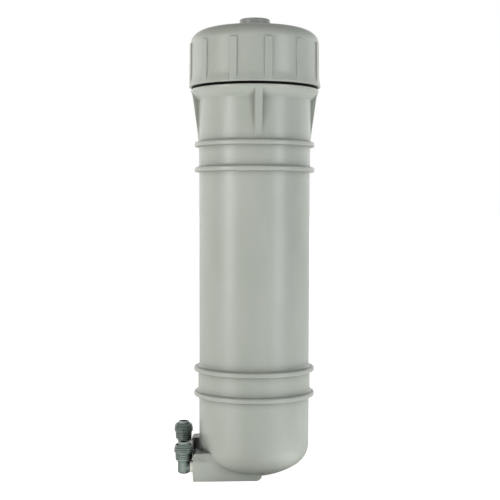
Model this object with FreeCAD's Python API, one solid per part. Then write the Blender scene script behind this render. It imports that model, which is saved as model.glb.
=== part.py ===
import FreeCAD, Part
import math
import os

from FreeCAD import Vector

# Cartridge filter housing: a tall moulded vessel with a screw cap, a pleated cartridge inside, and two
# push-fit tube elbows in the port arms at its foot.
#
# Millimetres. The Z axis is the vessel's axis, the port arms reach towards -X, and the inlet arm is on the
# +Y side. Heights named below are measured up from the lowest point of the domed foot. place() then moves
# each finished piece down, so that the origin is at the middle of the lower strap band.

# ---------------------------------------------------------------- vessel: barrel, foot and strap rings
FOOT_R = 45.8
FOOT_DEPTH = 27.4
FOOT_KNUCKLE_R = 20.0
BARREL_R_LOW = 46.05
BAND_R_LOW = 46.8
BARREL_R_MID = 45.9
BARREL_R_HIGH = 46.45
BAND_R_HIGH = 46.7
BARREL_R_TOP = 46.9
RING_R = 50.3
RING_HALF = 2.35
RING_ROOT_HALF = 2.7
RING_ROUND = 2.1
RING_ROOT_FILLET = 0.5
# (height of the ring's middle, barrel radius below it, barrel radius above it)
RINGS = [
    (69.0, BARREL_R_LOW, BAND_R_LOW),
    (89.5, BAND_R_LOW, BARREL_R_MID),
    (255.4, BARREL_R_HIGH, BAND_R_HIGH),
    (276.4, BAND_R_HIGH, BARREL_R_TOP),
]
ORIGIN_Z = (RINGS[0][0] + RINGS[1][0]) / 2

BORE_R = 41.5
WALL = FOOT_R - BORE_R

# ---------------------------------------------------------------- vessel: flange, gussets and neck
FLANGE_UNDER_Z = 313.4
FLANGE_R = 53.7
FLANGE_EDGE_Z = 320.0
FLANGE_Z = 322.1
FLANGE_LEAN = 0.2
FLANGE_UNDER_FILLET = 2.0
FLANGE_EDGE_ROUND = 0.9
FLANGE_TOP_ROUND = 0.6
NECK_R = 47.5
NECK_Z = 346.0

GUSSET_COUNT = 4
GUSSET_FOOT_Z = 279.0
GUSSET_FOOT_R = 46.8
GUSSET_FOOT_WIDTH = 5.3
GUSSET_HEAD_Z = 318.6
GUSSET_HEAD_R = 52.4
GUSSET_HEAD_WIDTH = 5.9
GUSSET_INNER_R = 44.0
GUSSET_ROUND = 1.3

CAP_PITCH = 5.0
CAP_TURNS = 2.5
NECK_THREAD_CREST_R = 49.3
NECK_THREAD_Z = 328.0
THREAD_ROOT_WIDTH = 2.2
THREAD_CREST_WIDTH = 1.4

# ---------------------------------------------------------------- vessel: port arms and their channels
ARM_LEFT_X = -51.5
ARM_RIGHT_X = 5.0
ARM_WIDTH = 20.0
OUTLET_ARM_HEIGHT = 23.4
INLET_ARM_HEIGHT = 18.5
ARM_Y = 17.0
ARM_STEP_Z = 10.9
ARM_HEEL_ROUND = 5.0
ARM_TOP_ROUND = 3.0
ARM_EDGE_ROUND = 1.2
PORT_AXIS_Z = 10.9
PORT_HOLE_R = 5.3
PORT_HOLE_DEPTH = 10.0
CHANNEL_R = 3.0
DUCT_WALL = 3.2
INLET_CHANNEL_END_X = -30.0

HUB_R = 14.0
HUB_Z = 30.0
SOCKET_R = 10.05
SOCKET_FLOOR_Z = 8.0

# ---------------------------------------------------------------- cap and its seal
SEAL_IN_R = 49.7
SEAL_OUT_R = 53.0
CAP_Z = 324.2
CAP_LIP_R = 55.2
CAP_LIP_Z = 325.7
CAP_LIP_SLOPE = 0.2
CAP_PANEL_R = 54.0
CAP_SHOULDER_R = 53.7
CAP_SHOULDER_Z = 361.0
CAP_CROWN_R = 36.0
CAP_CROWN_Z = 372.6
CAP_BORE_R = 50.2
CAP_BORE_TOP_Z = 347.5
CAP_UPPER_BORE_R = 49.4
CAP_INNER_SHOULDER_Z = 357.5
CAP_INNER_CROWN_R = 34.0
CAP_INNER_CROWN_Z = 368.0
CAP_THREAD_CREST_R = 48.1

CAP_RIB_COUNT = 12
CAP_RIB_FIRST_DEG = -82.1
CAP_RIB_WIDTH = 6.0
CAP_RIB_FOOT_R = 55.2
CAP_RIB_HEAD_R = 54.9
CAP_RIB_HEAD_Z = 360.0
CAP_RIB_INNER_R = 52.0
CAP_RIB_ROUND = 0.5

HOLD_DOWN_R = 21.0
HOLD_DOWN_WALL = 3.0
HOLD_DOWN_GAP = 0.5
VENT_BOSS_R = 12.0
VENT_BOSS_Z = 357.0

# ---------------------------------------------------------------- bleed plug and its O-ring
PLUG_R = 12.9
PLUG_HEAD_Z = 372.8
PLUG_TOP_Z = 381.5
PLUG_EDGE_ROUND = 1.2
PLUG_STEM_R = 6.0
PLUG_STEM_Z = 355.5
PLUG_THREAD_CREST_R = 7.05
PLUG_HOLE_R = 7.6
PLUG_HOLE_THREAD_CREST_R = 6.6
PLUG_PITCH = 3.0
PLUG_THREAD_TURNS = 3.0
PLUG_THREAD_Z = 359.0
PLUG_THREAD_ROOT_WIDTH = 1.1
PLUG_THREAD_CREST_WIDTH = 0.5
PLUG_VENT_FLAT_X = 5.0
PLUG_SEAL_R = 9.6
PLUG_SEAL_TUBE_R = 1.0
PLUG_GROOVE_HALF = 1.2
PLUG_GROOVE_DEPTH = 1.95

# ---------------------------------------------------------------- cartridge
CARTRIDGE_R = 36.5
BOTTOM_CAP_Z = 30.05
MEDIA_LOW_Z = 36.0
MEDIA_HIGH_Z = 338.0
TOP_CAP_Z = 345.0
END_CAP_ROUND = 1.5
SPIGOT_R = 9.6
SPIGOT_Z = 12.0
SPIGOT_BORE_R = 5.5
SPIGOT_SEAL_ZS = (18.0, 24.0)
SPIGOT_SEAL_TUBE_R = 1.05
SPIGOT_GROOVE_R = 7.85
SPIGOT_GROOVE_HALF = 1.4
CORE_OUT_R = 14.0
CORE_WALL = 2.0
CORE_HOLE_R = 2.0
CORE_HOLE_ROWS = 19
CORE_HOLES_ACROSS = 3
PLEAT_COUNT = 45
PLEAT_IN_R = 15.0
PLEAT_OUT_R = 34.0
PLEAT_SHEET_T = 0.8
CAGE_OUT_R = 35.6
CAGE_WALL = 1.0
CAGE_RING_COUNT = 15
CAGE_STAVE_COUNT = 16
CAGE_BAR_WIDTH = 1.8

# ---------------------------------------------------------------- push-fit elbows
# Heights in this block are measured up from the axis of the elbow's leg.
ELBOW_X = -58.8
ELBOW_FOOT_Z = -5.7
ELBOW_BODY_R = 4.95
ELBOW_FOOT_ROUND = 2.4
ELBOW_TAPER_Z = 4.0
ELBOW_NECK_Z = 5.8
ELBOW_NECK_R = 6.9
ELBOW_SHOULDER_Z = 11.2
ELBOW_SHOULDER_R = 7.1
ELBOW_HEAD_Z = 12.1
ELBOW_HEAD_R = 8.0
ELBOW_BEVEL_Z = 15.4
ELBOW_RIM_R = 7.0
ELBOW_TOP_Z = 18.2
ELBOW_NECK_RIDGE_ZS = (7.3, 8.9, 10.4)
ELBOW_HEAD_RIDGE_ZS = (13.2, 14.5)
ELBOW_RIDGE_GROOVE = 0.3
ELBOW_GROOVE_TOP_Z = 16.6
ELBOW_GROOVE_DEPTH = 0.6
LEG_R = 4.9
LEG_LENGTH = 16.3
LEG_CHANNEL_R = 2.4
TUBE_STOP_Z = 1.2
TUBE_BORE_R = 3.4
TUBE_SEAT_Z = 5.4
TUBE_SEAT_R = 5.6
RING_STEP_Z = 8.4
HEAD_BORE_R = 6.45

TAPE_IN_R = 4.95
TAPE_OUT_R = 5.25
TAPE_START = 5.05
TAPE_END = 15.3
TAPE_CLEARANCE = 0.15

TUBE_SEAL_R = 4.35
TUBE_SEAL_TUBE_R = 1.2
TUBE_SEAL_Z = 6.9

GRAB_RING_Z = 8.45
GRAB_RING_T = 0.4
GRAB_RING_R = 6.3
GRAB_RING_HOLE_R = 3.15
GRAB_RING_SLOT_R = 5.3
GRAB_RING_SLOT_WIDTH = 0.7
GRAB_RING_SLOTS = 5

SEAT_RING_R = 6.4
SEAT_RING_TOP_Z = 18.0
SEAT_RECESS_R = 5.5
SEAT_RECESS_Z = 16.2
SEAT_GUIDE_R = 4.4
SEAT_GUIDE_Z = 12.1
SEAT_SKIRT_R = 5.6
SEAT_SKIRT_Z = 8.9

COLLET_HOLE_R = 3.25
COLLET_BARREL_R = 4.2
COLLET_BARB_R = 5.2
COLLET_HEAD_R = 4.7
COLLET_FOOT_Z = 10.3
COLLET_BARB_Z = 11.9
COLLET_HEAD_Z = 17.7
COLLET_TOP_Z = 20.4
COLLET_EDGE_ROUND = 0.5
COLLET_SLOT_WIDTH = 0.8
COLLET_SLOT_TOP_Z = 16.0

# The gap that a seal or a fitted piece leaves to the wall beside it.
SEAL_GAP = 0.05

Z_AXIS = Vector(0, 0, 1)
ORIGIN = Vector(0, 0, 0)


# ---------------------------------------------------------------- drawing helpers
def path(corners):
    """Lines through (radius, height) corners; a third number in a corner rounds it by that radius."""
    edges = []
    last = Vector(corners[0][0], corners[0][1], 0)
    for here, ahead in zip(corners[1:-1], corners[2:]):
        corner = Vector(here[0], here[1], 0)
        if len(here) < 3:
            edges.append(Part.LineSegment(last, corner).toShape())
            last = corner
            continue
        back = (last - corner).normalize()
        on = (Vector(ahead[0], ahead[1], 0) - corner).normalize()
        half_angle = back.getAngle(on) / 2
        reach = here[2] / math.tan(half_angle)
        middle = (back + on).normalize() * (here[2] / math.sin(half_angle) - here[2])
        arc_start = corner + back * reach
        arc_end = corner + on * reach
        edges.append(Part.LineSegment(last, arc_start).toShape())
        edges.append(Part.Arc(arc_start, corner + middle, arc_end).toShape())
        last = arc_end
    edges.append(Part.LineSegment(last, Vector(corners[-1][0], corners[-1][1], 0)).toShape())
    return edges


def shoulder_arc(crown_r, rim_z, rim_r, crown_z):
    """A quarter of an ellipse that turns an upright wall into a flat crown."""
    ellipse = Part.Ellipse(Vector(crown_r, rim_z, 0), rim_r - crown_r, crown_z - rim_z)
    return Part.ArcOfEllipse(ellipse, 0, math.pi / 2).toShape()


def dish(radius, depth, knuckle_r, low_z):
    """The outline of a dished end, from its lowest point out to its upright rim.

    A crown arc centred on the axis meets a knuckle arc, and each runs smoothly into the next.
    """
    rise = depth - knuckle_r
    reach = radius - knuckle_r
    crown_r = (reach ** 2 + depth ** 2 - knuckle_r ** 2) / (2 * rise)
    meet = math.atan2(reach, crown_r - depth)
    rim_z = low_z + depth

    def on_crown(angle):
        return Vector(crown_r * math.sin(angle), low_z + crown_r * (1 - math.cos(angle)), 0)

    def on_knuckle(angle):
        return Vector(reach + knuckle_r * math.sin(angle), rim_z - knuckle_r * math.cos(angle), 0)

    crown = Part.Arc(on_crown(0), on_crown(meet / 2), on_crown(meet))
    knuckle = Part.Arc(on_crown(meet), on_knuckle((meet + math.pi / 2) / 2), Vector(radius, rim_z, 0))
    return [crown.toShape(), knuckle.toShape()]


def lathe(edges):
    """The solid swept by a closed outline of edges turned about the Z axis."""
    wire = Part.Wire(Part.__sortEdges__(edges))
    solid = Part.Face(wire).revolve(ORIGIN, Vector(0, 1, 0), 360)
    solid.rotate(ORIGIN, Vector(1, 0, 0), 90)
    return solid


def turned(corners):
    """A lathe solid from one closed ring of corners; its first corner stays sharp."""
    return lathe(path(list(corners) + [corners[0][:2]]))


def disc(radius, low_z, high_z):
    return Part.makeCylinder(radius, high_z - low_z, Vector(0, 0, low_z))


def o_ring(ring_r, tube_r, centre_z):
    return Part.makeTorus(ring_r, tube_r, Vector(0, 0, centre_z))


def box(low, high):
    size = Vector(*high) - Vector(*low)
    return Part.makeBox(size.x, size.y, size.z, Vector(*low))


def rod(radius, start, end):
    """A cylinder between two points."""
    run = Vector(*end) - Vector(*start)
    return Part.makeCylinder(radius, run.Length, Vector(*start), run)


def round_edges(shape, radius, chosen):
    """Fillets the edges whose middle point passes the test `chosen`."""
    edges = [edge for edge in shape.Edges if chosen(edge.CenterOfMass)]
    return shape.makeFillet(radius, edges)


def turned_copy(shape, angle_deg):
    copy = shape.copy()
    copy.rotate(ORIGIN, Z_AXIS, angle_deg)
    return copy


def fin(inner_r, foot, head, rounding):
    """A tapered fin standing on a round wall at +X.

    foot and head are (outer radius, width, height) at its lower and upper end.
    """
    outlines = []
    for outer_r, width, z in (foot, head):
        half = width / 2
        outlines.append(Part.makePolygon([
            Vector(inner_r, -half, z),
            Vector(outer_r, -half, z),
            Vector(outer_r, half, z),
            Vector(inner_r, half, z),
            Vector(inner_r, -half, z),
        ]))
    solid = Part.makeLoft(outlines, True, True)
    middle_z = (foot[2] + head[2]) / 2
    middle_r = (foot[0] + head[0]) / 2

    def outer_upright(point):
        return abs(point.z - middle_z) < 1 and point.x > middle_r - 1

    return round_edges(solid, rounding, outer_upright)


def helical_ridge(root_r, crest_r, start_z, turns, pitch, root_width, crest_width):
    """A screw thread's ridge; its root is sunk a little into the wall that carries it."""
    sink = 0.5 if crest_r > root_r else -0.5
    outline = Part.makePolygon([
        Vector(root_r - sink, 0, start_z - root_width / 2),
        Vector(crest_r, 0, start_z - crest_width / 2),
        Vector(crest_r, 0, start_z + crest_width / 2),
        Vector(root_r - sink, 0, start_z + root_width / 2),
        Vector(root_r - sink, 0, start_z - root_width / 2),
    ])
    helix = Part.makeHelix(pitch, pitch * turns, root_r)
    helix.translate(Vector(0, 0, start_z))
    return Part.Wire(helix.Edges).makePipeShell([outline], True, True)


# ---------------------------------------------------------------- vessel
def ring_corners(middle_z, below_r, above_r):
    """The four corners of one half-round strap ring on the barrel's outline."""
    return [
        (below_r, middle_z - RING_ROOT_HALF, RING_ROOT_FILLET),
        (RING_R, middle_z - RING_HALF, RING_ROUND),
        (RING_R, middle_z + RING_HALF, RING_ROUND),
        (above_r, middle_z + RING_ROOT_HALF, RING_ROOT_FILLET),
    ]


def vessel_outside():
    foot = dish(FOOT_R, FOOT_DEPTH, FOOT_KNUCKLE_R, 0)
    corners = [(FOOT_R, FOOT_DEPTH)]
    for ring in RINGS:
        corners += ring_corners(*ring)
    corners += [
        (BARREL_R_TOP, FLANGE_UNDER_Z, FLANGE_UNDER_FILLET),
        (FLANGE_R - FLANGE_LEAN, FLANGE_EDGE_Z, FLANGE_EDGE_ROUND),
        (FLANGE_R, FLANGE_Z, FLANGE_TOP_ROUND),
        (NECK_R, FLANGE_Z, FLANGE_TOP_ROUND),
        (NECK_R, NECK_Z, 1.0),
        (0, NECK_Z),
        (0, 0),
    ]
    barrel = lathe(foot + path(corners))
    gusset = fin(
        GUSSET_INNER_R,
        (GUSSET_FOOT_R, GUSSET_FOOT_WIDTH, GUSSET_FOOT_Z),
        (GUSSET_HEAD_R, GUSSET_HEAD_WIDTH, GUSSET_HEAD_Z),
        GUSSET_ROUND,
    )
    gussets = [turned_copy(gusset, 360 / GUSSET_COUNT * index) for index in range(GUSSET_COUNT)]
    thread = helical_ridge(
        NECK_R, NECK_THREAD_CREST_R, NECK_THREAD_Z, CAP_TURNS, CAP_PITCH,
        THREAD_ROOT_WIDTH, THREAD_CREST_WIDTH,
    )
    return barrel.multiFuse(gussets + [thread])


def port_arm(side, foot_z, height):
    """One horizontal block that carries a port; side is -1 towards -Y and +1 towards +Y."""
    near_y = side * ARM_Y - ARM_WIDTH / 2
    arm = box((ARM_LEFT_X, near_y, foot_z), (ARM_RIGHT_X, near_y + ARM_WIDTH, foot_z + height))

    def heel(point):
        return point.x > ARM_RIGHT_X - 0.1 and point.z < foot_z + 0.1

    def top_left(point):
        return point.x < ARM_LEFT_X + 0.1 and point.z > foot_z + height - 0.1

    arm = round_edges(arm, ARM_HEEL_ROUND, heel)
    arm = round_edges(arm, ARM_TOP_ROUND, top_left)

    def side_edge(point):
        return abs(abs(point.y - side * ARM_Y) - ARM_WIDTH / 2) < 0.1

    return round_edges(arm, ARM_EDGE_ROUND, side_edge)


def vessel_cavity():
    """The space inside the vessel, round the hub and the outlet's duct."""
    floor = dish(BORE_R, FOOT_DEPTH - WALL, FOOT_KNUCKLE_R - WALL, WALL)
    space = lathe(floor + path([
        (BORE_R, FOOT_DEPTH),
        (BORE_R, NECK_Z + 1),
        (0, NECK_Z + 1),
        (0, WALL),
    ]))
    duct_half = CHANNEL_R + DUCT_WALL
    duct_top = PORT_AXIS_Z + duct_half
    long_duct = box(
        (ARM_LEFT_X, -ARM_Y - duct_half, 0),
        (duct_half, -ARM_Y + duct_half, duct_top),
    )
    cross_duct = box((-duct_half, -ARM_Y, 0), (duct_half, 0, duct_top))
    return space.cut([long_duct, cross_duct, disc(HUB_R, 0, HUB_Z)])


def vessel_passages():
    """The drilled and cored ways for water, and the ports' threaded holes."""
    hole_end_x = ARM_LEFT_X + PORT_HOLE_DEPTH
    outlet_z = PORT_AXIS_Z
    inlet_z = PORT_AXIS_Z + ARM_STEP_Z
    return [
        rod(PORT_HOLE_R, (ARM_LEFT_X - 1, -ARM_Y, outlet_z), (hole_end_x, -ARM_Y, outlet_z)),
        rod(PORT_HOLE_R, (ARM_LEFT_X - 1, ARM_Y, inlet_z), (hole_end_x, ARM_Y, inlet_z)),
        rod(CHANNEL_R, (ARM_LEFT_X, -ARM_Y, outlet_z), (0, -ARM_Y, outlet_z)),
        rod(CHANNEL_R, (0, -ARM_Y - CHANNEL_R, outlet_z), (0, 0, outlet_z)),
        rod(CHANNEL_R, (ARM_LEFT_X, ARM_Y, inlet_z), (INLET_CHANNEL_END_X, ARM_Y, inlet_z)),
        disc(SOCKET_R, SOCKET_FLOOR_Z, HUB_Z + 1),
    ]


def vessel_body():
    arms = [port_arm(-1, 0, OUTLET_ARM_HEIGHT), port_arm(1, ARM_STEP_Z, INLET_ARM_HEIGHT)]
    outside = vessel_outside().multiFuse(arms)
    return outside.cut([vessel_cavity()] + vessel_passages()).removeSplitter()


# ---------------------------------------------------------------- cap, seal and bleed plug
def screw_cap():
    shoulder = shoulder_arc(CAP_CROWN_R, CAP_SHOULDER_Z, CAP_SHOULDER_R, CAP_CROWN_Z)
    outside = lathe([shoulder] + path([
        (CAP_CROWN_R, CAP_CROWN_Z),
        (0, CAP_CROWN_Z),
        (0, CAP_Z),
        (CAP_LIP_R, CAP_Z, 0.4),
        (CAP_LIP_R, CAP_LIP_Z, 0.5),
        (CAP_PANEL_R, CAP_LIP_Z + CAP_LIP_SLOPE, 0.3),
        (CAP_SHOULDER_R, CAP_SHOULDER_Z),
    ]))
    rib = fin(
        CAP_RIB_INNER_R,
        (CAP_RIB_FOOT_R, CAP_RIB_WIDTH, (CAP_Z + CAP_LIP_Z) / 2),
        (CAP_RIB_HEAD_R, CAP_RIB_WIDTH, CAP_RIB_HEAD_Z),
        CAP_RIB_ROUND,
    )
    rib_step = 360 / CAP_RIB_COUNT
    ribs = [turned_copy(rib, CAP_RIB_FIRST_DEG + rib_step * index) for index in range(CAP_RIB_COUNT)]
    inner_shoulder = shoulder_arc(
        CAP_INNER_CROWN_R, CAP_INNER_SHOULDER_Z, CAP_UPPER_BORE_R, CAP_INNER_CROWN_Z,
    )
    inside = lathe([inner_shoulder] + path([
        (CAP_INNER_CROWN_R, CAP_INNER_CROWN_Z),
        (0, CAP_INNER_CROWN_Z),
        (0, CAP_Z - 1),
        (CAP_BORE_R, CAP_Z - 1),
        (CAP_BORE_R, CAP_BORE_TOP_Z, 0.5),
        (CAP_UPPER_BORE_R, CAP_BORE_TOP_Z + 0.8, 0.5),
        (CAP_UPPER_BORE_R, CAP_INNER_SHOULDER_Z),
    ]))
    hold_down_z = TOP_CAP_Z + HOLD_DOWN_GAP
    hold_down = disc(HOLD_DOWN_R, hold_down_z, CAP_CROWN_Z - 1)
    hold_down = hold_down.cut(disc(HOLD_DOWN_R - HOLD_DOWN_WALL, hold_down_z - 1, CAP_INNER_CROWN_Z))
    boss = disc(VENT_BOSS_R, VENT_BOSS_Z, CAP_CROWN_Z - 1)
    thread = helical_ridge(
        CAP_BORE_R, CAP_THREAD_CREST_R, NECK_THREAD_Z - CAP_PITCH / 2, CAP_TURNS, CAP_PITCH,
        THREAD_ROOT_WIDTH, THREAD_CREST_WIDTH,
    )
    vent_thread = helical_ridge(
        PLUG_HOLE_R, PLUG_HOLE_THREAD_CREST_R, PLUG_THREAD_Z + PLUG_PITCH / 2, PLUG_THREAD_TURNS,
        PLUG_PITCH, PLUG_THREAD_ROOT_WIDTH, PLUG_THREAD_CREST_WIDTH,
    )
    shell = outside.multiFuse(ribs).cut(inside).multiFuse([hold_down, boss, thread])
    hole = disc(PLUG_HOLE_R, VENT_BOSS_Z - 1, CAP_CROWN_Z + 1)
    return shell.cut(hole).fuse(vent_thread).removeSplitter()


def cap_seal_ring():
    return turned([
        (SEAL_IN_R, FLANGE_Z),
        (SEAL_OUT_R, FLANGE_Z, 0.4),
        (SEAL_OUT_R, CAP_Z, 0.4),
        (SEAL_IN_R, CAP_Z),
    ])


def bleed_plug():
    groove_in = PLUG_SEAL_R - PLUG_GROOVE_HALF
    groove_out = PLUG_SEAL_R + PLUG_GROOVE_HALF
    plug = turned([
        (0, PLUG_STEM_Z),
        (PLUG_STEM_R, PLUG_STEM_Z, 0.8),
        (PLUG_STEM_R, PLUG_HEAD_Z, 0.3),
        (groove_in, PLUG_HEAD_Z),
        (groove_in, PLUG_HEAD_Z + PLUG_GROOVE_DEPTH),
        (groove_out, PLUG_HEAD_Z + PLUG_GROOVE_DEPTH),
        (groove_out, PLUG_HEAD_Z),
        (PLUG_R, PLUG_HEAD_Z, 0.5),
        (PLUG_R, PLUG_TOP_Z, PLUG_EDGE_ROUND),
        (0, PLUG_TOP_Z),
    ])
    thread = helical_ridge(
        PLUG_STEM_R, PLUG_THREAD_CREST_R, PLUG_THREAD_Z, PLUG_THREAD_TURNS, PLUG_PITCH,
        PLUG_THREAD_ROOT_WIDTH, PLUG_THREAD_CREST_WIDTH,
    )
    vent_top_z = PLUG_THREAD_Z + PLUG_PITCH * (PLUG_THREAD_TURNS + 1)
    vent = box((PLUG_VENT_FLAT_X, -PLUG_R, PLUG_STEM_Z - 1), (PLUG_R, PLUG_R, vent_top_z))
    return plug.fuse(thread).cut(vent).removeSplitter()


def bleed_plug_seal():
    return o_ring(PLUG_SEAL_R, PLUG_SEAL_TUBE_R, CAP_CROWN_Z + PLUG_SEAL_TUBE_R + SEAL_GAP)


# ---------------------------------------------------------------- cartridge
def cartridge_bottom_cap():
    corners = [
        (SPIGOT_BORE_R, SPIGOT_Z),
        (SPIGOT_R, SPIGOT_Z, 1.2),
    ]
    for seal_z in SPIGOT_SEAL_ZS:
        corners += [
            (SPIGOT_R, seal_z - SPIGOT_GROOVE_HALF),
            (SPIGOT_GROOVE_R, seal_z - SPIGOT_GROOVE_HALF),
            (SPIGOT_GROOVE_R, seal_z + SPIGOT_GROOVE_HALF),
            (SPIGOT_R, seal_z + SPIGOT_GROOVE_HALF),
        ]
    corners += [
        (SPIGOT_R, BOTTOM_CAP_Z),
        (CARTRIDGE_R, BOTTOM_CAP_Z, END_CAP_ROUND),
        (CARTRIDGE_R, MEDIA_LOW_Z),
        (SPIGOT_BORE_R, MEDIA_LOW_Z),
    ]
    return turned(corners)


def cartridge_top_cap():
    return turned([
        (0, MEDIA_HIGH_Z),
        (CARTRIDGE_R, MEDIA_HIGH_Z),
        (CARTRIDGE_R, TOP_CAP_Z, END_CAP_ROUND),
        (0, TOP_CAP_Z),
    ])


def cartridge_core():
    tube = disc(CORE_OUT_R, MEDIA_LOW_Z, MEDIA_HIGH_Z)
    tube = tube.cut(disc(CORE_OUT_R - CORE_WALL, MEDIA_LOW_Z - 1, MEDIA_HIGH_Z + 1))
    row_gap = (MEDIA_HIGH_Z - MEDIA_LOW_Z) / (CORE_HOLE_ROWS + 1)
    drills = []
    for row in range(CORE_HOLE_ROWS):
        row_z = MEDIA_LOW_Z + row_gap * (row + 1)
        for index in range(CORE_HOLES_ACROSS):
            drill = rod(CORE_HOLE_R, (-CORE_OUT_R - 1, 0, row_z), (CORE_OUT_R + 1, 0, row_z))
            stagger = row % 2 / 2
            drills.append(turned_copy(drill, 180 / CORE_HOLES_ACROSS * (index + stagger)))
    return tube.cut(drills)


def zigzag(in_r, out_r):
    """A closed star outline with one point for each pleat."""
    points = []
    for index in range(2 * PLEAT_COUNT):
        angle = math.pi / PLEAT_COUNT * index
        radius = out_r if index % 2 == 0 else in_r
        points.append(Vector(radius * math.cos(angle), radius * math.sin(angle), MEDIA_LOW_Z))
    return Part.makePolygon(points + points[:1])


def pleated_media():
    """The folded sheet; both outlines slope alike, so the sheet's slanted walls keep one thickness."""
    half_pitch = math.pi / PLEAT_COUNT * (PLEAT_IN_R + PLEAT_OUT_R) / 2
    fold_offset = PLEAT_SHEET_T * math.hypot(PLEAT_OUT_R - PLEAT_IN_R, half_pitch) / half_pitch / 2
    outer = Part.Face(zigzag(PLEAT_IN_R + fold_offset, PLEAT_OUT_R))
    inner = Part.Face(zigzag(PLEAT_IN_R, PLEAT_OUT_R - fold_offset))
    return outer.cut(inner).extrude(Vector(0, 0, MEDIA_HIGH_Z - MEDIA_LOW_Z))


def cartridge_cage():
    """The stiff outer net: evenly spaced hoops joined by upright staves."""
    length = MEDIA_HIGH_Z - MEDIA_LOW_Z
    wall = disc(CAGE_OUT_R, MEDIA_LOW_Z, MEDIA_HIGH_Z)
    wall = wall.cut(disc(CAGE_OUT_R - CAGE_WALL, MEDIA_LOW_Z - 1, MEDIA_HIGH_Z + 1))
    hoop_gap = (length - CAGE_BAR_WIDTH) / (CAGE_RING_COUNT - 1)
    between_hoops = []
    for index in range(CAGE_RING_COUNT - 1):
        low_z = MEDIA_LOW_Z + CAGE_BAR_WIDTH + hoop_gap * index
        high_z = low_z + hoop_gap - CAGE_BAR_WIDTH
        opening = disc(CAGE_OUT_R + 1, low_z, high_z)
        between_hoops.append(opening.cut(disc(CAGE_OUT_R - CAGE_WALL - 1, low_z - 1, high_z + 1)))
    spokes = []
    for index in range(CAGE_STAVE_COUNT // 2):
        spoke = box(
            (-CAGE_OUT_R - 2, -CAGE_BAR_WIDTH / 2, MEDIA_LOW_Z),
            (CAGE_OUT_R + 2, CAGE_BAR_WIDTH / 2, MEDIA_HIGH_Z),
        )
        spokes.append(turned_copy(spoke, 360 / CAGE_STAVE_COUNT * index))
    windows = [opening.cut(spokes) for opening in between_hoops]
    return wall.cut(windows)


def cartridge_spigot_seals():
    ring_r = SPIGOT_GROOVE_R + SEAL_GAP + SPIGOT_SEAL_TUBE_R
    return Part.makeCompound([o_ring(ring_r, SPIGOT_SEAL_TUBE_R, z) for z in SPIGOT_SEAL_ZS])


# ---------------------------------------------------------------- push-fit elbows
def groove(ridge_z, radius):
    """A shallow V cut round the elbow between two of its grip ridges."""
    return [
        (radius, ridge_z - ELBOW_RIDGE_GROOVE),
        (radius - ELBOW_RIDGE_GROOVE, ridge_z),
        (radius, ridge_z + ELBOW_RIDGE_GROOVE),
    ]


def elbow_body():
    """The elbow with its tube socket pointing up and its leg along +X."""
    corners = [
        (0, ELBOW_FOOT_Z),
        (ELBOW_BODY_R, ELBOW_FOOT_Z, ELBOW_FOOT_ROUND),
        (ELBOW_BODY_R, ELBOW_TAPER_Z, 0.5),
        (ELBOW_NECK_R, ELBOW_NECK_Z, 0.4),
    ]
    slope = (ELBOW_SHOULDER_R - ELBOW_NECK_R) / (ELBOW_SHOULDER_Z - ELBOW_NECK_Z)
    for ridge_z in ELBOW_NECK_RIDGE_ZS:
        corners += groove(ridge_z, ELBOW_NECK_R + slope * (ridge_z - ELBOW_NECK_Z))
    corners += [
        (ELBOW_SHOULDER_R, ELBOW_SHOULDER_Z),
        (ELBOW_HEAD_R, ELBOW_HEAD_Z, 0.3),
    ]
    for ridge_z in ELBOW_HEAD_RIDGE_ZS:
        corners += groove(ridge_z, ELBOW_HEAD_R)
    groove_r = ELBOW_HEAD_R - ELBOW_GROOVE_DEPTH
    corners += [
        (ELBOW_HEAD_R, ELBOW_BEVEL_Z),
        (groove_r, ELBOW_BEVEL_Z + ELBOW_GROOVE_DEPTH),
        (groove_r + 0.3, ELBOW_GROOVE_TOP_Z),
        (ELBOW_RIM_R, ELBOW_TOP_Z, 0.4),
        (0, ELBOW_TOP_Z),
    ]
    outside = turned(corners).fuse(rod(LEG_R, (0, 0, 0), (LEG_LENGTH, 0, 0)))
    socket = turned([
        (0, 0),
        (LEG_CHANNEL_R, 0),
        (LEG_CHANNEL_R, TUBE_STOP_Z),
        (TUBE_BORE_R, TUBE_STOP_Z),
        (TUBE_BORE_R, TUBE_SEAT_Z),
        (TUBE_SEAT_R, TUBE_SEAT_Z),
        (TUBE_SEAT_R, RING_STEP_Z),
        (HEAD_BORE_R, RING_STEP_Z),
        (HEAD_BORE_R, ELBOW_TOP_Z + 1),
        (0, ELBOW_TOP_Z + 1),
    ])
    channel = rod(LEG_CHANNEL_R - SEAL_GAP, (0, 0, 0), (LEG_LENGTH + 1, 0, 0))
    return outside.cut([socket, channel]).removeSplitter()


def thread_tape():
    """The tape wound on the leg's thread, trimmed clear of the elbow's head above it."""
    sleeve = rod(TAPE_OUT_R, (TAPE_START, 0, 0), (TAPE_END, 0, 0))
    under_head_z = ELBOW_TAPER_Z - TAPE_CLEARANCE
    head_space = turned([
        (0, under_head_z),
        (ELBOW_BODY_R + TAPE_CLEARANCE, under_head_z),
        (ELBOW_NECK_R + TAPE_CLEARANCE, ELBOW_NECK_Z - TAPE_CLEARANCE),
        (ELBOW_NECK_R + TAPE_CLEARANCE, ELBOW_TOP_Z),
        (0, ELBOW_TOP_Z),
    ])
    return sleeve.cut([rod(TAPE_IN_R, (TAPE_START - 1, 0, 0), (TAPE_END + 1, 0, 0)), head_space])


def tube_seal():
    return o_ring(TUBE_SEAL_R, TUBE_SEAL_TUBE_R, TUBE_SEAL_Z)


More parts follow.
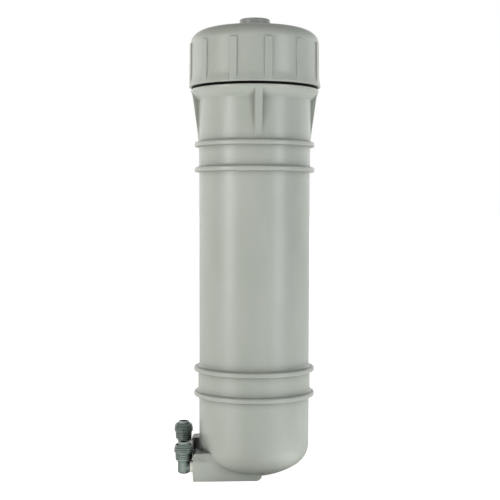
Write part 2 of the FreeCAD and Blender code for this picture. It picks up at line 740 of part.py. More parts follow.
def grab_ring():
    """A thin steel washer whose slotted inner edge leaves teeth that bite the tube."""
    top_z = GRAB_RING_Z + GRAB_RING_T
    washer = disc(GRAB_RING_R, GRAB_RING_Z, top_z)
    cuts = [disc(GRAB_RING_HOLE_R, GRAB_RING_Z - 1, top_z + 1)]
    slot = box(
        (-GRAB_RING_SLOT_R, -GRAB_RING_SLOT_WIDTH / 2, GRAB_RING_Z - 1),
        (GRAB_RING_SLOT_R, GRAB_RING_SLOT_WIDTH / 2, top_z + 1),
    )
    for index in range(GRAB_RING_SLOTS):
        cuts.append(turned_copy(slot, 180 / GRAB_RING_SLOTS * index))
    return washer.cut(cuts)


def collet_seat():
    """The ring pressed into the head: it clamps the grab ring, guides the collet and stops its fingers."""
    return turned([
        (SEAT_SKIRT_R, SEAT_SKIRT_Z),
        (SEAT_RING_R, SEAT_SKIRT_Z),
        (SEAT_RING_R, SEAT_RING_TOP_Z, 0.3),
        (SEAT_RECESS_R, SEAT_RING_TOP_Z, 0.3),
        (SEAT_RECESS_R, SEAT_RECESS_Z),
        (SEAT_GUIDE_R, SEAT_RECESS_Z),
        (SEAT_GUIDE_R, SEAT_GUIDE_Z),
        (SEAT_SKIRT_R, SEAT_GUIDE_Z),
    ])


def collet():
    """The release sleeve; its slotted fingers carry barbs that keep it under the collet seat."""
    sleeve = turned([
        (COLLET_HOLE_R, COLLET_FOOT_Z),
        (COLLET_BARB_R - 0.5, COLLET_FOOT_Z),
        (COLLET_BARB_R, COLLET_BARB_Z - 0.6),
        (COLLET_BARB_R, COLLET_BARB_Z),
        (COLLET_BARREL_R, COLLET_BARB_Z),
        (COLLET_BARREL_R, COLLET_HEAD_Z),
        (COLLET_HEAD_R, COLLET_HEAD_Z),
        (COLLET_HEAD_R, COLLET_TOP_Z, COLLET_EDGE_ROUND),
        (COLLET_HOLE_R, COLLET_TOP_Z, 0.3),
    ])
    slots = []
    for angle in (45, 135):
        slot = box(
            (-COLLET_BARB_R - 1, -COLLET_SLOT_WIDTH / 2, COLLET_FOOT_Z - 1),
            (COLLET_BARB_R + 1, COLLET_SLOT_WIDTH / 2, COLLET_SLOT_TOP_Z),
        )
        slots.append(turned_copy(slot, angle))
    return sleeve.cut(slots)


# ---------------------------------------------------------------- assembly
def place(shape, x=0, y=0, z=0):
    """Moves a piece to its place, with the origin at the middle of the lower strap band."""
    placed = shape.copy()
    placed.translate(Vector(x, y, z - ORIGIN_Z))
    return placed


def all_pieces():
    pieces = {
        "vessel_body": place(vessel_body()),
        "screw_cap": place(screw_cap()),
        "cap_seal_ring": place(cap_seal_ring()),
        "bleed_plug": place(bleed_plug()),
        "bleed_plug_seal": place(bleed_plug_seal()),
        "cartridge_bottom_cap": place(cartridge_bottom_cap()),
        "cartridge_top_cap": place(cartridge_top_cap()),
        "cartridge_core": place(cartridge_core()),
        "pleated_media": place(pleated_media()),
        "cartridge_cage": place(cartridge_cage()),
        "cartridge_spigot_seals": place(cartridge_spigot_seals()),
    }
    fitting = {
        "elbow": elbow_body(),
        "thread_tape": thread_tape(),
        "tube_seal": tube_seal(),
        "grab_ring": grab_ring(),
        "collet_seat": collet_seat(),
        "collet": collet(),
    }
    ports = {
        "inlet": (ARM_Y, PORT_AXIS_Z + ARM_STEP_Z),
        "outlet": (-ARM_Y, PORT_AXIS_Z),
    }
    for port, (port_y, port_z) in ports.items():
        for piece, shape in fitting.items():
            pieces[port + "_" + piece] = place(shape, ELBOW_X, port_y, port_z)
    return pieces


os.makedirs("parts", exist_ok=True)
for name, shape in all_pieces().items():
    print(name, "solids", len(shape.Solids), "valid", shape.isValid(), "cm3", round(shape.Volume / 1000, 3))
    shape.exportStep("parts/" + name + ".step")
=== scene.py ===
import math

import bmesh
import bpy
import numpy as np
from mathutils import Matrix, Vector


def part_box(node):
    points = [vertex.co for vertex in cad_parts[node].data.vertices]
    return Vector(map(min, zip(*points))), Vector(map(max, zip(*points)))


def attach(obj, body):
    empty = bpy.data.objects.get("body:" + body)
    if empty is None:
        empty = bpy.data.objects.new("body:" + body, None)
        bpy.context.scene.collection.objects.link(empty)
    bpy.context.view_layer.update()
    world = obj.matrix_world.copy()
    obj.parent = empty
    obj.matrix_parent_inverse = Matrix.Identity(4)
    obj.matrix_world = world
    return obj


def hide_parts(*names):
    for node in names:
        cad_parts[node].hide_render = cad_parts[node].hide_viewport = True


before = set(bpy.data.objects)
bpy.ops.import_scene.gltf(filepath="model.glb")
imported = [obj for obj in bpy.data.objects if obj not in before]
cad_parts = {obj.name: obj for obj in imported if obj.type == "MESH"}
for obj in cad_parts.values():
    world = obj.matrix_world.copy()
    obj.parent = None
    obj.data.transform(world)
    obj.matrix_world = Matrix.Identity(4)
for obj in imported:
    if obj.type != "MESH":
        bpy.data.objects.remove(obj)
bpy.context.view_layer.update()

# The look of a cartridge filter housing. Everything is in metres, in the frame's own axes: Z is the
# vessel's axis, the front is -Y and the port arms reach towards -X. Heights given in millimetres are
# counted from the lowest point of the domed foot, and frame_z() turns them into frame heights.
MM = 0.001
BASE_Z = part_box("vessel_body")[0].z


def frame_z(height_mm):
    return BASE_Z + height_mm * MM


# ---------------------------------------------------------------- mesh helpers
def new_object(name, verts, faces):
    mesh = bpy.data.meshes.new(name)
    mesh.from_pydata([tuple(v) for v in verts], [], faces)
    mesh.validate()
    obj = bpy.data.objects.new(name, mesh)
    bpy.context.scene.collection.objects.link(obj)
    return obj


def round_axis(radius, angle, height):
    """The point, in metres, at a radius and a height in mm and an angle round Z."""
    return radius * MM * math.cos(angle), radius * MM * math.sin(angle), frame_z(height)


def fillet_points(before, corner, after, radius, step_deg=10):
    """Points along the arc that rounds one corner of an outline."""
    corner = np.array(corner[:2], float)
    back = np.array(before[:2], float) - corner
    on = np.array(after[:2], float) - corner
    back /= np.linalg.norm(back)
    on /= np.linalg.norm(on)
    half = math.acos(np.clip(back @ on, -1, 1)) / 2
    reach = radius / math.tan(half)
    centre = corner + (back + on) / np.linalg.norm(back + on) * radius / math.sin(half)
    start = corner + back * reach - centre
    sweep = math.pi - 2 * half
    turn = math.copysign(1, start[0] * (corner - centre)[1] - start[1] * (corner - centre)[0])
    count = max(2, math.ceil(math.degrees(sweep) / step_deg))
    points = []
    for index in range(count + 1):
        angle = turn * sweep * index / count
        points.append(centre + [
            start[0] * math.cos(angle) - start[1] * math.sin(angle),
            start[0] * math.sin(angle) + start[1] * math.cos(angle),
        ])
    return points


def rounded(corners, step_deg=10):
    """An open outline of (radius, height) corners in mm; a third number rounds a corner."""
    points = [np.array(corners[0][:2], float)]
    for before, corner, after in zip(corners, corners[1:], corners[2:]):
        if len(corner) == 3:
            points += fillet_points(before, corner, after, corner[2], step_deg)
        else:
            points.append(np.array(corner[:2], float))
    points.append(np.array(corners[-1][:2], float))
    return points


def refine(points, longest, support=0.35):
    """Adds a supporting point near both ends of each long run, and divides it evenly between them."""
    fine = [points[0]]
    for start, end in zip(points, points[1:]):
        length = float(np.linalg.norm(end - start))
        if length > 4 * support:
            on = (end - start) / length
            inner = length - 2 * support
            count = max(1, math.ceil(inner / longest))
            for index in range(count + 1):
                fine.append(start + on * (support + inner * index / count))
        fine.append(end)
    return fine


def ring_mesh(name, radii, heights, angles, closed=True):
    """A surface swept round Z: radii is one row of radii per outline point, one radius per angle.

    A row of zero radius becomes a single pole vertex. closed joins the last row to the first.
    """
    verts, rows, faces = [], [], []
    for row, height in zip(radii, heights):
        if max(row) < 1e-9:
            rows.append([len(verts)] * len(angles))
            verts.append((0, 0, frame_z(height)))
            continue
        rows.append(list(range(len(verts), len(verts) + len(angles))))
        verts += [round_axis(radius, angle, height) for radius, angle in zip(row, angles)]
    pairs = list(zip(rows, rows[1:]))
    if closed:
        pairs.append((rows[-1], rows[0]))
    for lower, upper in pairs:
        if lower[0] == lower[1] and upper[0] == upper[1]:
            continue
        for index in range(len(angles)):
            ahead = (index + 1) % len(angles)
            quad = [lower[index], lower[ahead], upper[ahead], upper[index]]
            face = list(dict.fromkeys(quad))
            if len(face) > 2:
                faces.append(face)
    return new_object(name, verts, faces)


def even_angles(count):
    return [2 * math.pi * index / count for index in range(count)]


def lathe(name, outline, count, closed=True):
    """An outline of (radius, height) points in mm turned round Z, with its faces outwards."""
    radii = [[point[0]] * count for point in outline]
    solid = ring_mesh(name, radii, [point[1] for point in outline], even_angles(count), closed)
    outward(solid)
    return solid


def swept(name, verts, size):
    """A closed solid through rows of size points each, capped at its first and last row."""
    rows = len(verts) // size
    faces = []
    for row in range(rows - 1):
        for index in range(size):
            here, ahead = row * size + index, row * size + (index + 1) % size
            faces.append([here, ahead, ahead + size, here + size])
    faces.append(list(range(size)))
    faces.append(list(range((rows - 1) * size, rows * size)))
    solid = new_object(name, verts, faces)
    outward(solid)
    return solid


def smooth_max(a, b, k):
    """The larger of two lengths, with a fillet of about k where they are equal."""
    h = np.clip(0.5 + 0.5 * (a - b) / k, 0, 1)
    return a * h + b * (1 - h) + k * h * (1 - h)


def smooth_min(a, b, k):
    return -smooth_max(-a, -b, k)


def block_distance(x, y, outer_x, half_y, rounding):
    """Distance, in mm, from a block that fills x < outer_x and |y| < half_y, with rounded edges."""
    dx = x - (outer_x - rounding)
    dy = np.abs(y) - (half_y - rounding)
    outside = np.hypot(np.maximum(dx, 0), np.maximum(dy, 0))
    inside = np.minimum(np.maximum(dx, dy), 0)
    return outside + inside - rounding


def fin_radii(body_r, angles, centres, outer_r, half_width, rounding, root_fillet):
    """Radii of one row round a wall of radius body_r with fins standing at the centre angles."""
    angles = np.asarray(angles)
    radii = np.full(len(angles), float(body_r))
    if outer_r < body_r - 0.3:
        return radii
    for centre in centres:
        turn = (angles - centre + math.pi) % (2 * math.pi) - math.pi
        near = np.abs(turn) < (half_width + 4 * root_fillet + 1) / body_r
        low = np.full(near.sum(), body_r - 1.0)
        high = np.full(near.sum(), max(outer_r, body_r) + 2.0)
        for _ in range(40):
            middle = (low + high) / 2
            fin = block_distance(middle * np.cos(turn[near]), middle * np.sin(turn[near]),
                                 outer_r, half_width, rounding)
            inside = smooth_min(middle - body_r, fin, root_fillet) < 0
            low = np.where(inside, middle, low)
            high = np.where(inside, high, middle)
        radii[near] = np.maximum(radii[near], low)
    return radii


def fin_angles(count, centres, half_width, radius, clear):
    """Even angles round the circle, with closer lines at each fin, set out at a radius.

    The even angles stay clear times the fin's half width away from its centre.
    """
    edge = half_width / radius
    offsets = [0, 0.35, 0.65, 0.82, 0.9, 0.95, 0.98, 1.0, 1.02, 1.05, 1.1, 1.18, 1.3]
    near = [sign * edge * offset for offset in offsets for sign in (1, -1)]
    lines = set()
    for centre in centres:
        for offset in near:
            lines.add(round((centre + offset) % (2 * math.pi), 6))
    for angle in even_angles(count):
        gaps = [abs((angle - centre + math.pi) % (2 * math.pi) - math.pi) for centre in centres]
        if min(gaps) > edge * clear:
            lines.add(round(angle, 6))
    return sorted(lines)


def boolean(obj, cutter, operation):
    """Joins a closed mesh to obj, or cuts it away, and removes the cutter."""
    modifier = obj.modifiers.new("boolean", "BOOLEAN")
    modifier.operation = operation
    modifier.solver = "EXACT"
    modifier.object = cutter
    apply_modifiers(obj)
    bpy.data.objects.remove(cutter)


def apply_modifiers(obj):
    depsgraph = bpy.context.evaluated_depsgraph_get()
    mesh = bpy.data.meshes.new_from_object(obj.evaluated_get(depsgraph))
    old = obj.data
    obj.modifiers.clear()
    obj.data = mesh
    bpy.data.meshes.remove(old)


def smooth(obj, angle_deg=32):
    """Smooth shading with crisp creases, weighted so that large faces stay flat."""
    mesh = obj.data
    mesh.polygons.foreach_set("use_smooth", [True] * len(mesh.polygons))
    mesh.set_sharp_from_angle(angle=math.radians(angle_deg))
    weighted = obj.modifiers.new("weighted_normals", "WEIGHTED_NORMAL")
    weighted.keep_sharp = True
    apply_modifiers(obj)


def outward(obj):
    """Turns every face of a mesh outwards."""
    work = bmesh.new()
    work.from_mesh(obj.data)
    bmesh.ops.recalc_face_normals(work, faces=work.faces)
    work.to_mesh(obj.data)
    work.free()


def from_bmesh(name, work):
    """A new object made of a bmesh, which is then freed."""
    mesh = bpy.data.meshes.new(name)
    work.to_mesh(mesh)
    work.free()
    obj = bpy.data.objects.new(name, mesh)
    bpy.context.scene.collection.objects.link(obj)
    return obj


def box(name, low, high):
    """A box between two corners in metres."""
    work = bmesh.new()
    bmesh.ops.create_cube(work, size=1)
    for vert in work.verts:
        for axis in range(3):
            vert.co[axis] = low[axis] if vert.co[axis] < 0 else high[axis]
    return from_bmesh(name, work)


def rod(name, radius, start, end, count=96):
    """A closed cylinder between two points, in metres."""
    start, end = Vector(start), Vector(end)
    work = bmesh.new()
    bmesh.ops.create_cone(work, cap_ends=True, segments=count, radius1=radius, radius2=radius,
                          depth=(end - start).length)
    turn = (end - start).to_track_quat("Z", "Y").to_matrix().to_4x4()
    bmesh.ops.transform(work, matrix=Matrix.Translation((start + end) / 2) @ turn, verts=work.verts)
    return from_bmesh(name, work)


# ---------------------------------------------------------------- sizes of the replaced pieces, mm
FOOT_R, FOOT_DEPTH, FOOT_KNUCKLE_R = 45.8, 27.4, 20.0
BORE_R = 41.5
WALL = FOOT_R - BORE_R
RING_R, RING_HALF, RING_ROOT_HALF = 50.3, 1.9, 2.1
RING_HOLLOW_R, RING_CREST_ROUND, RING_UNDER_ROUND, RING_UNDER_HOLLOW = 1.9, 1.5, 0.9, 0.4
# (height of the ring's middle, barrel radius below it, barrel radius above it)
RINGS = [(69.0, 46.05, 46.8), (89.5, 46.8, 45.9), (255.4, 46.45, 46.7), (276.4, 46.7, 46.9)]
FLANGE_UNDER_Z, FLANGE_EDGE_Z, FLANGE_Z, FLANGE_R, FLANGE_LEAN = 313.4, 320.0, 322.1, 53.7, 0.2
NECK_R, NECK_Z = 47.5, 346.0
GUSSET_LOW_Z, GUSSET_LOW_R, GUSSET_LOW_WIDTH = 279.0, 46.8, 5.3
GUSSET_HIGH_Z, GUSSET_HIGH_R, GUSSET_HIGH_WIDTH = 318.6, 52.4, 5.9
GUSSET_COUNT, GUSSET_ROUND, GUSSET_ROOT_FILLET, GUSSET_RUN_ON = 4, 0.7, 0.8, 1.5
# for fin_angles(): the radius its lines are set out at, and how many half widths the even ones keep off
GUSSET_LINE_R, GUSSET_LINE_CLEAR = 49.5, 1.45
THREAD_PITCH, THREAD_TURNS, THREAD_Z = 5.0, 2.5, 328.0
NECK_THREAD_R, CAP_THREAD_R = 49.3, 48.1
THREAD_ROOT_WIDTH, THREAD_CREST_WIDTH = 2.2, 1.4
THREAD_CREST_CORNER, THREAD_FLANK_DROP, THREAD_EDGE_SHARE, THREAD_SINK = 0.35, 0.05, 0.25, 0.5
THREAD_TURN_STEPS, THREAD_RUNOUT_STEPS, THREAD_THINNEST = 72, 14, 0.02

ARM_LOW_X, ARM_HIGH_X = -51.5, 5.0
ARM_WIDTH, OUTLET_ARM_HEIGHT, INLET_ARM_HEIGHT, ARM_Y, ARM_STEP_Z = 20.0, 23.4, 18.5, 17.0, 10.9
ARM_HEEL_ROUND, ARM_TOP_ROUND, ARM_EDGE_ROUND = 5.0, 3.0, 1.2
ARM_BACK_ROUND, ARM_FOOT_ROUND, ARM_EDGE_REACH = 1.0, 0.8, 6.0
CREASE_R, CREASE_THINNEST, CREASE_SINK, CREASE_CORE = 3.0, 0.3, 0.4, 1.0
CREASE_LOW_Z, CREASE_GROWTH, CREASE_TOP_GROWTH = 7.0, 10.0, 1.5
PORT_Z, PORT_R, PORT_DEPTH, CHANNEL_R = 10.9, 5.3, 10.0, 3.0
OUTLET_CHANNEL_END_X, INLET_CHANNEL_END_X = 0, -30
HUB_R, HUB_Z, SOCKET_R, SOCKET_FLOOR_Z = 14.0, 30.0, 10.05, 8.0
DUCT_HALF = 6.2
# how far the cutters reach to the vessel's left and below it, and past the faces that they open
CUTTER_X, CUTTER_Z, CUTTER_PAST = -60, -5, 2

CAP_Z, CAP_LIP_R, CAP_LIP_Z, CAP_FLARE_Z = 324.2, 55.2, 325.2, 331.5
CAP_PANEL_R, CAP_SHOULDER_R, CAP_SHOULDER_Z = 54.0, 53.7, 361.0
CAP_CROWN_R, CAP_CROWN_Z = 36.0, 372.6
CAP_BORE_R, CAP_BORE_TOP_Z, CAP_UPPER_BORE_R = 50.2, 347.5, 49.4
CAP_INNER_SHOULDER_Z, CAP_INNER_CROWN_R, CAP_INNER_CROWN_Z = 357.5, 34.0, 368.0
CAP_RIB_COUNT, CAP_RIB_FIRST_DEG, CAP_RIB_HALF = 12, -82.1, 3.0
CAP_RIB_LOW_R, CAP_RIB_HIGH_R, CAP_RIB_TOP_Z, CAP_RIB_ROUND = 55.2, 54.9, 360.0, 0.5
CAP_RIB_ROOT_FILLET, CAP_RIB_LINE_R, CAP_RIB_LINE_CLEAR = 0.35, 54.6, 1.35
# the cap's outline is its outer wall beyond this radius
CAP_OUTSIDE_R = 52
# heights of the wall's rows over the start of the ribs' rounded ends
CAP_RIB_END_STEPS = (-0.2, 0, 0.15, 0.3, 0.4, 0.47, 0.5, 0.53, 0.9)
HOLD_DOWN_OUT_R, HOLD_DOWN_IN_R, HOLD_DOWN_Z = 21.0, 18.0, 345.5
VENT_BOSS_R, VENT_BOSS_Z, VENT_HOLE_R = 12.0, 357.0, 7.6

PLUG_R, PLUG_LOW_Z, PLUG_TOP_Z = 12.9, 372.8, 381.5
PLUG_STEM_R, PLUG_STEM_Z = 6.0, 355.5
PLUG_GROOVE_IN_R, PLUG_GROOVE_OUT_R, PLUG_GROOVE_DEPTH = 8.4, 10.8, 1.95

SEAL_IN_R, SEAL_OUT_R, SEAL_GAP, SEAL_EDGE, SEAL_BULGE = 49.7, 53.0, 0.02, 0.4, 0.1
ELBOW_X = -58.8
TAPE_IN_R, TAPE_OUT_R, TAPE_START, TAPE_END = 4.95, 5.25, 5.05, 15.3
TAPE_FIT, TAPE_SINK, TAPE_THICKNESS, TAPE_EDGE, TAPE_WRINKLE = 0.03, 0.1, 0.075, 0.12, 0.012
# (where a layer's edge starts along the leg, how far it wanders)
TAPE_LAYERS = [(0.15, 0.30), (1.25, 0.22), (2.6, 0.25)]

# points round the axis on the vessel's and the cap's outside
ROUND_COUNT = 216


# ---------------------------------------------------------------- vessel
def dish_points(radius, depth, knuckle_r, low_z):
    """A dished end from its lowest point out to its upright rim: a crown arc, then a knuckle arc."""
    reach = radius - knuckle_r
    crown_r = (reach ** 2 + depth ** 2 - knuckle_r ** 2) / (2 * (depth - knuckle_r))
    meet = math.atan2(reach, crown_r - depth)
    points = []
    for angle in np.linspace(0, meet, 26):
        points.append(np.array([crown_r * math.sin(angle), low_z + crown_r * (1 - math.cos(angle))]))
    for angle in np.linspace(meet, math.pi / 2, 20)[1:]:
        points.append(np.array([
            reach + knuckle_r * math.sin(angle),
            low_z + depth - knuckle_r * math.cos(angle),
        ]))
    return points


def shoulder_points(crown_r, rim_z, rim_r, crown_z, count=28):
    """A quarter ellipse from an upright wall in to a flat crown."""
    points = []
    for angle in np.linspace(0, math.pi / 2, count):
        points.append(np.array([
            crown_r + (rim_r - crown_r) * math.cos(angle),
            rim_z + (crown_z - rim_z) * math.sin(angle),
        ]))
    return points


def strap_ring(middle_z, below_r, above_r):
    """A strap ring's corners: a hollow above it, a round crest and a small hollow under it."""
    return [
        (below_r, middle_z - RING_ROOT_HALF, RING_UNDER_HOLLOW),
        (RING_R, middle_z - RING_HALF, RING_UNDER_ROUND),
        (RING_R, middle_z + RING_HALF, RING_CREST_ROUND),
        (above_r, middle_z + RING_ROOT_HALF, RING_HOLLOW_R),
    ]


def helical_ridge(name, root_r, crest_r, start_z):
    """A screw thread's ridge as one closed sweep, run out to nothing at both ends."""
    steps = int(THREAD_TURN_STEPS * THREAD_TURNS)
    sink = -THREAD_SINK if crest_r > root_r else THREAD_SINK
    root_half = THREAD_ROOT_WIDTH / 2
    crest_half = THREAD_CREST_WIDTH / 2
    corner = crest_half - THREAD_CREST_CORNER
    flank = crest_half + THREAD_FLANK_DROP
    verts = []
    for index in range(steps + 1):
        angle = 2 * math.pi * THREAD_TURNS * index / steps
        middle = start_z + THREAD_PITCH * THREAD_TURNS * index / steps
        grown = min(1, index / THREAD_RUNOUT_STEPS, (steps - index) / THREAD_RUNOUT_STEPS)
        grown = THREAD_THINNEST + (1 - THREAD_THINNEST) * math.sin(grown * math.pi / 2)
        top_r = root_r + (crest_r - root_r) * grown
        edge_r = top_r - THREAD_EDGE_SHARE * (crest_r - root_r) * grown
        profile = [
            (root_r + sink, -root_half), (root_r, -root_half), (edge_r, -flank), (top_r, -corner),
            (top_r, corner), (edge_r, flank), (root_r, root_half), (root_r + sink, root_half),
        ]
        verts += [round_axis(radius, angle, middle + rise) for radius, rise in profile]
    return swept(name, verts, len(profile))


def edge_share(off_middle, length):
    """1 at either end of a length, falling to 0 at ARM_EDGE_REACH in from it."""
    return min(1, max(0, (abs(off_middle) - length / 2 + ARM_EDGE_REACH) / ARM_EDGE_REACH))


def port_arm(name, side, foot_z, height):
    """One horizontal block that carries a port, drawn as its side outline swept across its width."""
    outline = rounded([
        (0, foot_z),
        (ARM_HIGH_X, foot_z, ARM_HEEL_ROUND),
        (ARM_HIGH_X, foot_z + height, ARM_BACK_ROUND),
        (ARM_LOW_X, foot_z + height, ARM_TOP_ROUND),
        (ARM_LOW_X, foot_z, ARM_FOOT_ROUND),
        (0, foot_z),
    ], 12)[:-1]
    middle_x = (ARM_LOW_X + ARM_HIGH_X) / 2
    middle_z = foot_z + height / 2
    # (place across the arm, how far the outline is drawn in there), from one side to the other
    near = []
    for angle in np.linspace(0, math.pi / 2, 6)[::-1]:
        y = -ARM_WIDTH / 2 + ARM_EDGE_ROUND * (1 - math.sin(angle))
        near.append((y, ARM_EDGE_ROUND * (1 - math.cos(angle))))
    across = near + [(-y, inset) for y, inset in near[::-1]]
    verts = []
    for y, inset in across:
        for x, z in outline:
            pull_x = math.copysign(min(inset, abs(x - middle_x)), middle_x - x)
            pull_z = math.copysign(min(inset, abs(z - middle_z)), middle_z - z)
            edge_x = edge_share(x - middle_x, ARM_HIGH_X - ARM_LOW_X)
            edge_z = edge_share(z - middle_z, height)
            verts.append(((x + pull_x * edge_x) * MM, (side * ARM_Y + y) * MM,
                          frame_z(z + pull_z * edge_z)))
    return swept(name, verts, len(outline))


def dome_radius(height):
    """The dished foot's outer radius at a height in mm."""
    outline = dish_points(FOOT_R, FOOT_DEPTH, FOOT_KNUCKLE_R, 0)
    return float(np.interp(height, [point[1] for point in outline], [point[0] for point in outline]))


def crease_fillet():
    """The soft run-out between the front arm's outer face and the dome that bulges past it."""
    plane_y = -ARM_Y - ARM_WIDTH / 2
    top_z = OUTLET_ARM_HEIGHT - ARM_EDGE_ROUND
    verts = []
    for height in np.linspace(CREASE_LOW_Z, top_z, 24):
        share = min(1, (height - CREASE_LOW_Z) / CREASE_GROWTH, (top_z - height) / CREASE_TOP_GROWTH)
        fillet_r = CREASE_THINNEST + (CREASE_R - CREASE_THINNEST) * share * share * (3 - 2 * share)
        wall_r = dome_radius(height)
        centre_y = plane_y - fillet_r
        centre_x = -math.sqrt((wall_r + fillet_r) ** 2 - centre_y ** 2)
        row = [(centre_x, plane_y + CREASE_SINK)]
        for angle in np.linspace(math.pi / 2, math.atan2(-centre_y, -centre_x), 9):
            row.append((centre_x + fillet_r * math.cos(angle), centre_y + fillet_r * math.sin(angle)))
        shrink = (wall_r - CREASE_SINK) / (wall_r + fillet_r)
        row.append((centre_x * shrink, centre_y * shrink))
        row.append((-math.sqrt(wall_r ** 2 - plane_y ** 2) + CREASE_CORE, plane_y + CREASE_CORE))
        verts += [(x * MM, y * MM, frame_z(height)) for x, y in row]
    return swept("crease", verts, len(row))


def gusset_size(height):
    """A gusset's outer radius and half its width at a height in mm."""
    share = (height - GUSSET_LOW_Z) / (GUSSET_HIGH_Z - GUSSET_LOW_Z)
    outer_r = GUSSET_LOW_R + (GUSSET_HIGH_R - GUSSET_LOW_R) * share
    width = GUSSET_LOW_WIDTH + (GUSSET_HIGH_WIDTH - GUSSET_LOW_WIDTH) * share
    return outer_r, width / 2


def vessel_outside():
    """The vessel's outside from foot to neck, as one solid with its rings, flange and gussets."""
    corners = [(FOOT_R, FOOT_DEPTH)]
    for ring in RINGS:
        corners += strap_ring(*ring)
    corners += [
        (RINGS[-1][2], FLANGE_UNDER_Z, 2.0),
        (FLANGE_R - FLANGE_LEAN, FLANGE_EDGE_Z, 0.9),
        (FLANGE_R, FLANGE_Z, 0.6),
        (NECK_R, FLANGE_Z, 0.6),
        (NECK_R, NECK_Z, 1.0),
        (0, NECK_Z),
    ]
    outline = dish_points(FOOT_R, FOOT_DEPTH, FOOT_KNUCKLE_R, 0)[:-1] + refine(rounded(corners), 6)
    centres = [2 * math.pi / GUSSET_COUNT * index for index in range(GUSSET_COUNT)]
    angles = fin_angles(ROUND_COUNT, centres, GUSSET_HIGH_WIDTH / 2, GUSSET_LINE_R, GUSSET_LINE_CLEAR)
    radii = []
    for radius, height in outline:
        if GUSSET_LOW_Z <= height <= GUSSET_HIGH_Z + GUSSET_RUN_ON and radius > NECK_R - 1:
            outer_r, half_width = gusset_size(min(height, GUSSET_HIGH_Z))
            radii.append(fin_radii(radius, angles, centres, outer_r, half_width,
                                   GUSSET_ROUND, GUSSET_ROOT_FILLET))
        else:
            radii.append([radius] * len(angles))
    shell = ring_mesh("vessel_shell", radii, [point[1] for point in outline], angles, closed=False)
    outward(shell)
    return shell


def vessel_cavity():
    """The cutter for the vessel's inside, round the hub and the outlet's duct."""
    top_z = NECK_Z + CUTTER_PAST
    floor = dish_points(BORE_R, FOOT_DEPTH - WALL, FOOT_KNUCKLE_R - WALL, WALL)
    outline = floor[:-1] + refine([np.array([BORE_R, FOOT_DEPTH]), np.array([BORE_R, top_z])], 30)
    outline.append(np.array([0.0, top_z]))
    cavity = lathe("cavity", outline, 144, closed=False)
    low_z, duct_top = frame_z(CUTTER_Z), frame_z(PORT_Z + DUCT_HALF)
    long_low = (CUTTER_X * MM, (-ARM_Y - DUCT_HALF) * MM, low_z)
    long_high = (DUCT_HALF * MM, (-ARM_Y + DUCT_HALF) * MM, duct_top)
    boolean(cavity, box("duct", long_low, long_high), "DIFFERENCE")
    cross_low = (-DUCT_HALF * MM, -ARM_Y * MM, low_z)
    cross_high = (DUCT_HALF * MM, 0, duct_top)
    boolean(cavity, box("duct", cross_low, cross_high), "DIFFERENCE")
    boolean(cavity, rod("hub", HUB_R * MM, (0, 0, low_z), (0, 0, frame_z(HUB_Z))), "DIFFERENCE")
    return cavity


def vessel():
    shell = vessel_outside()
    boolean(shell, helical_ridge("thread", NECK_R, NECK_THREAD_R, THREAD_Z), "UNION")
    boolean(shell, port_arm("arm", -1, 0, OUTLET_ARM_HEIGHT), "UNION")
    boolean(shell, port_arm("arm", 1, ARM_STEP_Z, INLET_ARM_HEIGHT), "UNION")
    boolean(shell, crease_fillet(), "UNION")
    boolean(shell, vessel_cavity(), "DIFFERENCE")
    socket = rod("socket", SOCKET_R * MM, (0, 0, frame_z(SOCKET_FLOOR_Z)), (0, 0, frame_z(HUB_Z + 5)))
    boolean(shell, socket, "DIFFERENCE")
    for side, port_z, channel_end in ((-1, PORT_Z, OUTLET_CHANNEL_END_X),
                                      (1, PORT_Z + ARM_STEP_Z, INLET_CHANNEL_END_X)):
        y = side * ARM_Y * MM
        z = frame_z(port_z)
        mouth = (ARM_LOW_X - CUTTER_PAST) * MM
        port = rod("port", PORT_R * MM, (mouth, y, z), ((ARM_LOW_X + PORT_DEPTH) * MM, y, z))
        boolean(shell, port, "DIFFERENCE")
        channel = rod("channel", CHANNEL_R * MM, (mouth, y, z), (channel_end * MM, y, z), 48)
        boolean(shell, channel, "DIFFERENCE")
    cross = rod("cross", CHANNEL_R * MM, (0, -ARM_Y * MM, frame_z(PORT_Z)), (0, 0, frame_z(PORT_Z)), 48)
    boolean(shell, cross, "DIFFERENCE")
    smooth(shell)
    return shell


# ---------------------------------------------------------------- cap, seal and plug
def rib_radius(height):
    """The ribs' outer radius: it leans in a little, then rounds over at the ribs' flat upper ends."""
    share = (height - CAP_LIP_Z) / (CAP_RIB_TOP_Z - CAP_LIP_Z)
    radius = CAP_RIB_LOW_R + (CAP_RIB_HIGH_R - CAP_RIB_LOW_R) * share
    into = height - (CAP_RIB_TOP_Z - CAP_RIB_ROUND)
    if into > 0:
        radius -= CAP_RIB_ROUND - math.sqrt(max(0, CAP_RIB_ROUND ** 2 - into ** 2))
    return radius


